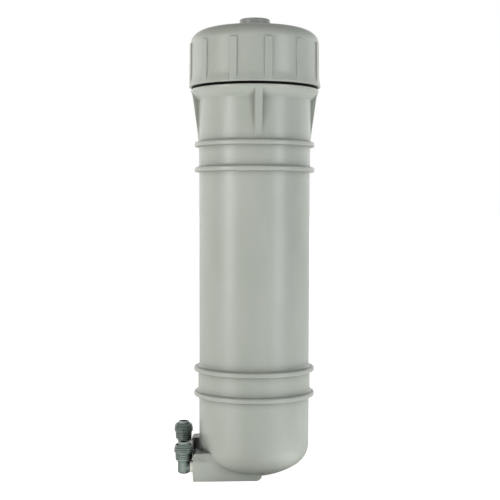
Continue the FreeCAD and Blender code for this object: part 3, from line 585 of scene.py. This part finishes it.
def cap():
    panel = refine(rounded([
        (CAP_BORE_R, CAP_Z + 1),
        (CAP_BORE_R, CAP_Z, 0.4),
        (CAP_LIP_R, CAP_Z, 0.6),
        (CAP_LIP_R, CAP_LIP_Z, 0.6),
        (CAP_PANEL_R, CAP_FLARE_Z, 20.0),
        (CAP_SHOULDER_R, CAP_SHOULDER_Z),
    ]), 3)
    rib_end = [CAP_RIB_TOP_Z - CAP_RIB_ROUND + step for step in CAP_RIB_END_STEPS]
    wall_slope = (CAP_SHOULDER_R - CAP_PANEL_R) / (CAP_SHOULDER_Z - CAP_FLARE_Z)
    panel = [p for p in panel
             if not (p[0] > CAP_OUTSIDE_R and CAP_RIB_TOP_Z - 1 < p[1] < CAP_SHOULDER_Z)]
    ends = [np.array([CAP_PANEL_R + wall_slope * (z - CAP_FLARE_Z), z]) for z in rib_end]
    outline = panel[:-1] + ends
    outline += shoulder_points(CAP_CROWN_R, CAP_SHOULDER_Z, CAP_SHOULDER_R, CAP_CROWN_Z)
    outline += refine(rounded([
        (CAP_CROWN_R - 0.3, CAP_CROWN_Z),
        (VENT_HOLE_R, CAP_CROWN_Z, 0.4),
        (VENT_HOLE_R, VENT_BOSS_Z, 0.3),
        (VENT_BOSS_R, VENT_BOSS_Z, 0.4),
        (VENT_BOSS_R, CAP_INNER_CROWN_Z, 0.8),
        (HOLD_DOWN_IN_R, CAP_INNER_CROWN_Z, 0.6),
        (HOLD_DOWN_IN_R, HOLD_DOWN_Z, 0.5),
        (HOLD_DOWN_OUT_R, HOLD_DOWN_Z, 0.5),
        (HOLD_DOWN_OUT_R, CAP_INNER_CROWN_Z, 0.8),
        (CAP_INNER_CROWN_R - 0.5, CAP_INNER_CROWN_Z),
    ]), 6)
    inner = shoulder_points(CAP_INNER_CROWN_R, CAP_INNER_SHOULDER_Z, CAP_UPPER_BORE_R,
                            CAP_INNER_CROWN_Z, 16)
    outline += inner[::-1]
    outline += refine(rounded([
        (CAP_UPPER_BORE_R, CAP_INNER_SHOULDER_Z - 0.5),
        (CAP_UPPER_BORE_R, CAP_BORE_TOP_Z + 0.8, 0.4),
        (CAP_BORE_R, CAP_BORE_TOP_Z, 0.4),
        (CAP_BORE_R, CAP_Z + 1.5),
    ]), 6)
    step = 2 * math.pi / CAP_RIB_COUNT
    centres = [math.radians(CAP_RIB_FIRST_DEG) + step * index for index in range(CAP_RIB_COUNT)]
    angles = fin_angles(ROUND_COUNT, centres, CAP_RIB_HALF, CAP_RIB_LINE_R, CAP_RIB_LINE_CLEAR)
    radii = []
    for radius, height in outline:
        if radius > CAP_OUTSIDE_R and CAP_LIP_Z - 0.3 < height <= CAP_RIB_TOP_Z + 1e-6:
            radii.append(fin_radii(radius, angles, centres, rib_radius(height), CAP_RIB_HALF,
                                   CAP_RIB_ROUND, CAP_RIB_ROOT_FILLET))
        else:
            radii.append([radius] * len(angles))
    shell = ring_mesh("cap_shell", radii, [point[1] for point in outline], angles)
    outward(shell)
    thread = helical_ridge("thread", CAP_BORE_R, CAP_THREAD_R, THREAD_Z - THREAD_PITCH / 2)
    boolean(shell, thread, "UNION")
    smooth(shell)
    return shell


def plug():
    outline = refine(rounded([
        (0, PLUG_STEM_Z),
        (PLUG_STEM_R, PLUG_STEM_Z, 0.8),
        (PLUG_STEM_R, PLUG_LOW_Z, 0.4),
        (PLUG_GROOVE_IN_R, PLUG_LOW_Z, 0.15),
        (PLUG_GROOVE_IN_R, PLUG_LOW_Z + PLUG_GROOVE_DEPTH, 0.3),
        (PLUG_GROOVE_OUT_R, PLUG_LOW_Z + PLUG_GROOVE_DEPTH, 0.3),
        (PLUG_GROOVE_OUT_R, PLUG_LOW_Z, 0.15),
        (PLUG_R, PLUG_LOW_Z, 0.5),
        (PLUG_R, PLUG_TOP_Z, 1.2),
        (0, PLUG_TOP_Z),
    ]), 4)
    knob = lathe("bleed_knob", outline, 160, closed=False)
    smooth(knob)
    return knob


def seal_ring():
    """The flat gasket squeezed between flange and cap, so that its outer edge bulges a little."""
    low, high = FLANGE_Z + SEAL_GAP, CAP_Z - SEAL_GAP
    outline = rounded([
        (SEAL_IN_R, (low + high) / 2),
        (SEAL_IN_R, low, 0.3),
        (SEAL_OUT_R - SEAL_EDGE, low, 0.3),
        (SEAL_OUT_R + SEAL_BULGE, (low + high) / 2, 1.0),
        (SEAL_OUT_R - SEAL_EDGE, high, 0.3),
        (SEAL_IN_R, high, 0.3),
        (SEAL_IN_R, (low + high) / 2),
    ], 15)[:-1]
    ring = lathe("seal_gasket", refine(outline, 2), 192)
    smooth(ring, 40)
    return ring


# ---------------------------------------------------------------- fittings
def tape_wrap(name, side, height, seed):
    """Thread tape wound on an elbow's leg: thin layers whose edges wander a little."""
    rng = np.random.default_rng(seed)
    low_x, high_x = ELBOW_X + TAPE_START, ELBOW_X + TAPE_END
    around = 128
    angles = even_angles(around)
    waves = rng.uniform(0, 2 * math.pi, 4)
    steps = np.concatenate([[0.0], np.arange(0.05, high_x - low_x, 0.12), [high_x - low_x]])
    rows = []
    for step in steps:
        row = []
        for angle in angles:
            radius = TAPE_IN_R + TAPE_FIT
            for number, (start, wander) in enumerate(TAPE_LAYERS):
                edge = start + 0.5 * angle / (2 * math.pi) + wander * math.sin(3 * angle + waves[number])
                grown = min(1, max(0, (step - edge) / TAPE_EDGE))
                radius += TAPE_THICKNESS * grown * grown * (3 - 2 * grown)
            wrinkle = TAPE_WRINKLE * math.sin(11 * angle + waves[3] + 2.5 * step)
            row.append(min(radius + wrinkle, TAPE_OUT_R + TAPE_FIT))
        rows.append(row)
    buried = [TAPE_IN_R - TAPE_SINK] * around
    rows = [buried] + rows + [buried]
    places = [steps[0]] + list(steps) + [steps[-1]]
    verts, faces = [], []
    for row, place in zip(rows, places):
        for radius, angle in zip(row, angles):
            verts.append((
                (low_x + place) * MM,
                (side * ARM_Y + radius * math.cos(angle)) * MM,
                frame_z(height + radius * math.sin(angle)),
            ))
    for row in range(len(rows)):
        ahead_row = (row + 1) % len(rows)
        for index in range(around):
            ahead = (index + 1) % around
            faces.append([row * around + index, row * around + ahead,
                          ahead_row * around + ahead, ahead_row * around + index])
    wrap = new_object(name, verts, faces)
    outward(wrap)
    smooth(wrap, 60)
    return wrap


# ---------------------------------------------------------------- materials
OCCLUSION_SAMPLES = 6
# the painted shade in the recess by the arms, in mm: it is full up to the first place and gone at the
# second
RECESS_SHADE_X, RECESS_SHADE_TOP_Z, RECESS_SHADE_LOW_Z = (-49, -37), (31, 39), (20, 15)
# painted shade inside the fittings' tube holes, and the width of its soft edge in mm
BORE_SHADE, BORE_EDGE_MM = (0.004, 0.005, 0.005, 1), 0.05


def linear(red, green, blue):
    """A colour given as 0-255 display values, as linear light."""
    values = []
    for value in (red, green, blue):
        share = value / 255
        values.append(share / 12.92 if share <= 0.04045 else ((share + 0.055) / 1.055) ** 2.4)
    return (*values, 1)


class Material:
    """A node material with the few steps that every finish here is made of."""

    def __init__(self, name):
        self.material = bpy.data.materials.new(name)
        self.material.use_nodes = True
        self.tree = self.material.node_tree
        self.tree.nodes.clear()
        self.output = self.add("ShaderNodeOutputMaterial")
        self.shader = self.add("ShaderNodeBsdfPrincipled")
        self.tree.links.new(self.shader.outputs["BSDF"], self.output.inputs["Surface"])
        self.coords = self.add("ShaderNodeTexCoord").outputs["Object"]

    def add(self, kind, **settings):
        node = self.tree.nodes.new(kind)
        for key, value in settings.items():
            setattr(node, key, value)
        return node

    def link(self, output, target):
        self.tree.links.new(output, target)

    def parts(self):
        """The X, Y and Z of the place on the surface."""
        split = self.add("ShaderNodeSeparateXYZ")
        self.link(self.coords, split.inputs["Vector"])
        return split.outputs

    def stretched(self, scale):
        mapping = self.add("ShaderNodeMapping")
        mapping.inputs["Scale"].default_value = scale
        self.link(self.coords, mapping.inputs["Vector"])
        return mapping.outputs["Vector"]

    def noise(self, size_mm, detail=3.0, rough=0.55, coords=None):
        """Noise whose features are about size_mm across."""
        node = self.add("ShaderNodeTexNoise")
        node.inputs["Scale"].default_value = 1 / (size_mm * MM)
        node.inputs["Detail"].default_value = detail
        node.inputs["Roughness"].default_value = rough
        self.link(coords or self.coords, node.inputs["Vector"])
        return node.outputs["Fac"]

    def spread(self, value, low, high, from_low=0.35, from_high=0.65):
        """Maps a value between two bounds, by default most of a noise's span, onto low to high."""
        node = self.add("ShaderNodeMapRange")
        node.inputs["From Min"].default_value = from_low
        node.inputs["From Max"].default_value = from_high
        node.inputs["To Min"].default_value = low
        node.inputs["To Max"].default_value = high
        self.link(value, node.inputs["Value"])
        return node.outputs["Result"]

    def mix(self, share, first, second):
        node = self.add("ShaderNodeMix", data_type="RGBA")
        self.link(share, node.inputs["Factor"])
        for value, target in ((first, node.inputs["A"]), (second, node.inputs["B"])):
            if isinstance(value, tuple):
                target.default_value = value
            else:
                self.link(value, target)
        return node.outputs["Result"]

    def openness(self, reach_mm, own, closed, open_at):
        """1 where a surface is open within the reach, falling to 0 in its hollows.

        closed and open_at are the shares of open sky at which it is 0 and 1. With own set, only the
        piece's own shape counts.
        """
        node = self.add("ShaderNodeAmbientOcclusion", samples=OCCLUSION_SAMPLES, only_local=own)
        node.inputs["Distance"].default_value = reach_mm * MM
        return self.spread(node.outputs["AO"], 0, 1, closed, open_at)

    def unless_at_arms(self, share):
        """Lets a share through beside the tops of the port arms, and is 1 elsewhere: it bounds the
        recess's painted shade.
        """
        parts = self.parts()
        bounds = [("X", RECESS_SHADE_X[0] * MM, RECESS_SHADE_X[1] * MM)]
        bounds += [("Z", frame_z(full), frame_z(gone)) for full, gone in (RECESS_SHADE_TOP_Z, RECESS_SHADE_LOW_Z)]
        for axis, full, gone in bounds:
            elsewhere = self.spread(parts[axis], 0, 1, full, gone)
            either = self.add("ShaderNodeMath", operation="MAXIMUM")
            self.link(share, either.inputs[0])
            self.link(elsewhere, either.inputs[1])
            share = either.outputs["Value"]
        return share

    def distance_from(self, x, y):
        """Distance, seen from above, from the nearer of two upright axes: at x with y, or mirrored.

        A positive x is mirrored to -x, and a negative x keeps its side with y mirrored to -y.
        """
        parts = self.parts()
        flat = self.add("ShaderNodeCombineXYZ")
        for axis, place in (("X", x), ("Y", y)):
            along = parts[axis]
            if (axis == "X") == (x > 0):
                size = self.add("ShaderNodeMath", operation="ABSOLUTE")
                self.link(along, size.inputs[0])
                along = size.outputs["Value"]
            offset = self.add("ShaderNodeMath", operation="SUBTRACT")
            self.link(along, offset.inputs[0])
            offset.inputs[1].default_value = place
            self.link(offset.outputs["Value"], flat.inputs[axis])
        length = self.add("ShaderNodeVectorMath", operation="LENGTH")
        self.link(flat.outputs["Vector"], length.inputs[0])
        return length.outputs["Value"]

    def bump(self, heights):
        """Stacks (height, depth in mm, strength) layers of relief."""
        normal = None
        for height, depth_mm, strength in heights:
            node = self.add("ShaderNodeBump")
            node.inputs["Distance"].default_value = depth_mm * MM
            node.inputs["Strength"].default_value = strength
            self.link(height, node.inputs["Height"])
            if normal:
                self.link(normal, node.inputs["Normal"])
            normal = node.outputs["Normal"]
        self.link(normal, self.shader.inputs["Normal"])

    def set(self, **sockets):
        for name, value in sockets.items():
            self.shader.inputs[name.replace("_", " ")].default_value = value


def moulded_plastic(name, light, dark, gloss, grain_mm=0.35, grain_depth=0.012, specular=0.5,
                    crease=None, recess=None, bore_mm=None, own=True):
    """Injection-moulded plastic: flow mottling, a fine tool grain and slightly uneven gloss.

    crease paints shade into narrow hollows, and recess paints shade into the deep one between the port
    arms: both darken the colour where ambient occlusion finds the surface closed in. Each holds a reach
    in mm, a colour, and the shares of open sky at which that colour is full and gone. With own set, only
    the piece's own shape makes a narrow hollow. bore_mm is the radius round a fitting's upright axis
    inside which the tube's hole is painted dark as shade.
    """
    made = Material(name)
    flow = made.noise(38, 3, 0.6, made.stretched((1, 1, 0.45)))
    cloud = made.noise(7, 4, 0.6)
    tone = made.mix(made.spread(flow, 0, 1), dark, light)
    speckle_and_shade = made.mix(made.spread(cloud, 0.0, 0.16), tone, dark)
    # painted shade: the crease colour darkens narrow hollows where ambient occlusion finds them closed
    # in
    if crease:
        reach, colour, closed, open_at = crease
        speckle_and_shade = made.mix(made.openness(reach, own, closed, open_at), colour, speckle_and_shade)
    # painted shade: a near-black colour fills the deep recess between the port arms
    if recess:
        reach, colour, closed, open_at = recess
        share = made.unless_at_arms(made.openness(reach, False, closed, open_at))
        speckle_and_shade = made.mix(share, colour, speckle_and_shade)
    # painted shade: the tube's hole inside the collet is coloured near-black
    if bore_mm:
        wall = made.distance_from(ELBOW_X * MM, ARM_Y * MM)
        shade = made.spread(wall, 0, 1, (bore_mm - BORE_EDGE_MM) * MM, (bore_mm + BORE_EDGE_MM) * MM)
        speckle_and_shade = made.mix(shade, BORE_SHADE, speckle_and_shade)
    made.link(speckle_and_shade, made.shader.inputs["Base Color"])
    low, high = gloss
    made.link(made.spread(made.noise(5, 4), low, high), made.shader.inputs["Roughness"])
    made.bump([
        (made.noise(14, 2, 0.5), 0.05, 0.25),
        (made.noise(grain_mm, 3, 0.5), grain_depth, 0.6),
    ])
    made.set(IOR=1.49, Specular_IOR_Level=specular)
    return made.material


def rubber(name):
    made = Material(name)
    dust = made.noise(1.4, 5, 0.65)
    made.link(made.mix(made.spread(dust, 0, 1), (0.002, 0.002, 0.002, 1), (0.006, 0.006, 0.006, 1)),
              made.shader.inputs["Base Color"])
    made.link(made.spread(made.noise(3, 4), 0.5, 0.72), made.shader.inputs["Roughness"])
    made.bump([(made.noise(0.5, 3), 0.03, 0.5)])
    made.set(Specular_IOR_Level=0.05)
    return made.material


def wound_tape(name):
    made = Material(name)
    fibre = made.noise(0.9, 5, 0.7, made.stretched((3.0, 0.6, 0.6)))
    made.link(made.mix(made.spread(fibre, 0, 1), linear(214, 214, 200), linear(238, 238, 228)),
              made.shader.inputs["Base Color"])
    made.link(made.spread(made.noise(1.5, 4), 0.42, 0.62), made.shader.inputs["Roughness"])
    made.bump([(fibre, 0.05, 0.6)])
    return made.material


def spring_steel(name):
    made = Material(name)
    brushed = made.noise(0.25, 3, 0.6, made.stretched((1, 1, 12)))
    made.link(made.mix(made.spread(brushed, 0, 1), (0.42, 0.42, 0.43, 1), (0.6, 0.6, 0.6, 1)),
              made.shader.inputs["Base Color"])
    made.link(made.spread(brushed, 0.24, 0.4), made.shader.inputs["Roughness"])
    made.bump([(brushed, 0.01, 0.4)])
    made.set(Metallic=1.0)
    return made.material


def filter_paper(name):
    """The pleated polyester sheet: off-white fibres matted at random, with faint soiling."""
    made = Material(name)
    fibres = made.noise(0.5, 6, 0.75, made.stretched((1, 1, 0.5)))
    soil = made.noise(25, 4, 0.6)
    pale = made.mix(made.spread(fibres, 0, 1), linear(216, 218, 214), linear(242, 242, 238))
    made.link(made.mix(made.spread(soil, 0, 0.25), pale, linear(204, 202, 190)),
              made.shader.inputs["Base Color"])
    made.link(made.spread(fibres, 0.75, 0.95), made.shader.inputs["Roughness"])
    made.bump([(fibres, 0.12, 0.7)])
    made.set(Specular_IOR_Level=0.3, Sheen_Weight=0.2)
    return made.material


# ---------------------------------------------------------------- stage, light and camera
CAMERA_AZIMUTH_DEG, CAMERA_ROLL_DEG = -3.6, 0.14
CAMERA_DISTANCE, CAMERA_LEFT = 0.942, 0.0037
CAMERA_HEIGHT = 220.0
CAMERA_LENS, CAMERA_SENSOR, CAMERA_SHIFT_Y = 80.7, 36, -0.076
CAMERA_NEAR, CAMERA_FAR = 0.05, 200

FLOOR_RINGS = (1.0, 6.0, 60.0)
# the floor's glow as the camera sees it, and as it lights the object from TABLE_R outwards
FLOOR_GLOW_SEEN, TABLE_GLOW, TABLE_R = 0.95, 0.52, 0.2
# two pools of light on the floor, in front of the vessel's foot to its left and right
POOL_X, POOL_Y, POOL_R, POOL_GLOW, LEFT_POOL_SHARE = 0.077, -0.073, 0.065, 2.6, 0.5

# the world's brightness, and the directions, from front to back and level to up, where it changes
FRONT_LIGHT, BACK_LIGHT, ZENITH_LIGHT, BACKDROP = 0.1, 1.7, 0.32, 1.0
FRONT_END, BACK_START, ZENITH_START = -0.1, 0.5, 0.75

PANEL_DISTANCE, PANEL_TALL = 1.3, 0.9
# (name, azimuth in degrees, height of the middle, width, power, colour)
PANELS = [
    ("left_panel", -56, 0.08, 0.32, 9.5, (1.0, 1.0, 0.99)),
    ("right_panel", 47, 0.06, 0.26, 7.5, (0.92, 1.0, 1.06)),
]


def stage_floor():
    """A very large, evenly pale floor, whose glow stands in for the light that a white table throws.

    The camera sees the same glow all over. The object gets it from two pools and from further out.
    """
    count = 64
    verts = [(0, 0, BASE_Z)]
    for ring_r in FLOOR_RINGS:
        for angle in even_angles(count):
            verts.append((ring_r * math.cos(angle), ring_r * math.sin(angle), BASE_Z))
    faces = []
    for index in range(count):
        ahead = (index + 1) % count
        faces.append([0, 1 + index, 1 + ahead])
        for ring in range(len(FLOOR_RINGS) - 1):
            low, high = 1 + ring * count, 1 + (ring + 1) * count
            faces.append([low + index, high + index, high + ahead, low + ahead])
    floor = new_object("studio_floor", verts, faces)
    made = Material("studio_floor")
    faint = made.noise(60, 3)
    made.link(made.mix(made.spread(faint, 0, 1), (0.86, 0.86, 0.86, 1), (0.88, 0.88, 0.88, 1)),
              made.shader.inputs["Base Color"])
    away = made.distance_from(POOL_X, POOL_Y)
    pools = made.spread(away, POOL_GLOW, 0, POOL_R / 3, POOL_R)
    side = made.spread(made.parts()["X"], LEFT_POOL_SHARE, 1, -0.01, 0.01)
    radius = made.add("ShaderNodeVectorMath", operation="LENGTH")
    made.link(made.stretched((1, 1, 0)), radius.inputs[0])
    cast = made.add("ShaderNodeMath", operation="MULTIPLY_ADD")
    made.link(pools, cast.inputs[0])
    made.link(side, cast.inputs[1])
    made.link(made.spread(radius.outputs["Value"], 0, TABLE_GLOW, POOL_X, TABLE_R), cast.inputs[2])
    seen = made.add("ShaderNodeLightPath").outputs["Is Camera Ray"]
    choice = made.add("ShaderNodeMix", data_type="FLOAT")
    made.link(seen, choice.inputs["Factor"])
    made.link(cast.outputs["Value"], choice.inputs["A"])
    choice.inputs["B"].default_value = FLOOR_GLOW_SEEN
    made.link(choice.outputs["Result"], made.shader.inputs["Emission Strength"])
    made.set(Roughness=0.9, Specular_IOR_Level=0.1, Emission_Color=(1, 1, 1, 1))
    floor.data.materials.append(made.material)


def world_light():
    """A white studio: bright behind the object, and dim beside it, in front of it and overhead.

    The camera sees an even white.
    """
    world = bpy.data.worlds.new("studio")
    bpy.context.scene.world = world
    world.use_nodes = True
    tree = world.node_tree
    tree.nodes.clear()

    def blend(value, start, end, low, high):
        """Goes smoothly from low to high as the value goes from start to end."""
        node = tree.nodes.new("ShaderNodeMapRange")
        node.interpolation_type = "SMOOTHSTEP"
        tree.links.new(value, node.inputs["Value"])
        for name, number in (("From Min", start), ("From Max", end)):
            node.inputs[name].default_value = number
        for name, number in (("To Min", low), ("To Max", high)):
            if isinstance(number, float):
                node.inputs[name].default_value = number
            else:
                tree.links.new(number, node.inputs[name])
        return node.outputs["Result"]

    parts = tree.nodes.new("ShaderNodeSeparateXYZ")
    tree.links.new(tree.nodes.new("ShaderNodeTexCoord").outputs["Generated"], parts.inputs["Vector"])
    level = blend(parts.outputs["Y"], FRONT_END, BACK_START, FRONT_LIGHT, BACK_LIGHT)
    light = blend(parts.outputs["Z"], 0.0, ZENITH_START, level, ZENITH_LIGHT)
    seen = tree.nodes.new("ShaderNodeLightPath").outputs["Is Camera Ray"]
    background = tree.nodes.new("ShaderNodeBackground")
    background.inputs["Color"].default_value = (1, 1, 1, 1)
    tree.links.new(blend(seen, 0.0, 1.0, light, BACKDROP), background.inputs["Strength"])
    output = tree.nodes.new("ShaderNodeOutputWorld")
    tree.links.new(background.outputs["Background"], output.inputs["Surface"])


def softbox(name, azimuth_deg, height, width, power, colour):
    """An upright panel of light that faces the vessel; azimuth 0 is the front, + is to the right."""
    light = bpy.data.lights.new(name, "AREA")
    light.shape = "RECTANGLE"
    light.size, light.size_y = width, PANEL_TALL
    light.energy = power
    light.color = colour
    lamp = bpy.data.objects.new(name, light)
    bpy.context.scene.collection.objects.link(lamp)
    azimuth = math.radians(azimuth_deg)
    place = Vector((PANEL_DISTANCE * math.sin(azimuth), -PANEL_DISTANCE * math.cos(azimuth), height))
    lamp.location = place
    lamp.visible_camera = False
    aim = Vector((0, 0, height)) - place
    lamp.rotation_euler = aim.to_track_quat("-Z", "Y").to_euler()


def camera():
    """A level camera in front of the vessel, framed by a shift."""
    data = bpy.data.cameras.new("camera")
    eye = bpy.data.objects.new("camera", data)
    bpy.context.scene.collection.objects.link(eye)
    azimuth = math.radians(CAMERA_AZIMUTH_DEG)
    forward = Vector((-math.sin(azimuth), math.cos(azimuth), 0))
    right = Vector((math.cos(azimuth), math.sin(azimuth), 0))
    eye.location = -forward * CAMERA_DISTANCE - right * CAMERA_LEFT
    eye.location.z = frame_z(CAMERA_HEIGHT)
    turn = forward.to_track_quat("-Z", "Y").to_matrix() @ Matrix.Rotation(
        math.radians(CAMERA_ROLL_DEG), 3, "Z")
    eye.rotation_euler = turn.to_euler()
    data.lens = CAMERA_LENS
    data.sensor_width = CAMERA_SENSOR
    data.shift_y = CAMERA_SHIFT_Y
    data.clip_start, data.clip_end = CAMERA_NEAR, CAMERA_FAR
    bpy.context.scene.camera = eye


# ---------------------------------------------------------------- the object, put together
def dress(obj, material):
    """Gives an object one material in place of what it had."""
    obj.data.materials.clear()
    obj.data.materials.append(material)


def piece(obj, body, slot, material, *nodes):
    """A finished piece: its material, the body it rides on and the CAD nodes it stands for."""
    dress(obj, material)
    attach(obj, body)
    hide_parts(*nodes)


SATIN_GREY = (linear(171, 174, 165), linear(164, 168, 158), (0.34, 0.42))
# painted shade for the narrow hollows by the rings, gussets, flange and cap ribs
CREASE_SHADE = linear(94, 97, 88)
# near-black painted shade for the deep recess between the port arms
RECESS_SHADE = linear(5, 6, 4)
HOUSING = moulded_plastic("housing_plastic", *SATIN_GREY, crease=(6, CREASE_SHADE, 0.2, 0.97),
                          recess=(24, RECESS_SHADE, 0.8, 1.0))
CAP = moulded_plastic("cap_plastic", *SATIN_GREY, crease=(2, CREASE_SHADE, 0.3, 0.85))
PLUG = moulded_plastic("plug_plastic", linear(158, 160, 154), linear(148, 150, 145), (0.28, 0.36))
# the fittings' crease colour is near-black painted shade, where the vessel, the arms and the floor close
# them in
FITTING = moulded_plastic("fitting_plastic", linear(112, 126, 118), linear(98, 112, 104), (0.1, 0.16),
                          specular=1.0, crease=(6, linear(10, 13, 11), 0.5, 0.95), own=False)
# the collet's tube hole is painted dark as shade
COLLET = moulded_plastic("collet_plastic", linear(152, 165, 156), linear(140, 153, 144), (0.13, 0.2),
                         specular=0.8, bore_mm=3.4)
CARTRIDGE = moulded_plastic("cartridge_plastic", linear(236, 237, 234), linear(226, 228, 225),
                            (0.4, 0.5))
RUBBER = rubber("seal_rubber")
TAPE = wound_tape("thread_tape")
STEEL = spring_steel("spring_steel")
PAPER = filter_paper("filter_media")

piece(vessel(), "vessel", "housing_plastic", HOUSING, "vessel_body")
piece(cap(), "cap", "cap_plastic", CAP, "screw_cap")
piece(plug(), "plug", "plug_plastic", PLUG, "bleed_plug")
piece(seal_ring(), "cap_seal", "seal_rubber", RUBBER, "cap_seal_ring")
for port, side, port_height in (("outlet", -1, PORT_Z), ("inlet", 1, PORT_Z + ARM_STEP_Z)):
    wrap = tape_wrap(port + "_tape_wrap", side, port_height, 7 + side)
    piece(wrap, "vessel", "thread_tape", TAPE, port + "_thread_tape")
    for part, material in (("elbow", FITTING), ("tube_seal", RUBBER), ("grab_ring", STEEL),
                           ("collet_seat", FITTING), ("collet", COLLET)):
        dress(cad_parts[port + "_" + part], material)
dress(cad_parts["bleed_plug_seal"], RUBBER)
dress(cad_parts["cartridge_spigot_seals"], RUBBER)
dress(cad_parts["pleated_media"], PAPER)
for inner in ("cartridge_bottom_cap", "cartridge_top_cap", "cartridge_core", "cartridge_cage"):
    dress(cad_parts[inner], CARTRIDGE)

stage_floor()
world_light()
for panel in PANELS:
    softbox(*panel)
camera()
bpy.context.scene.view_settings.view_transform = "Standard"
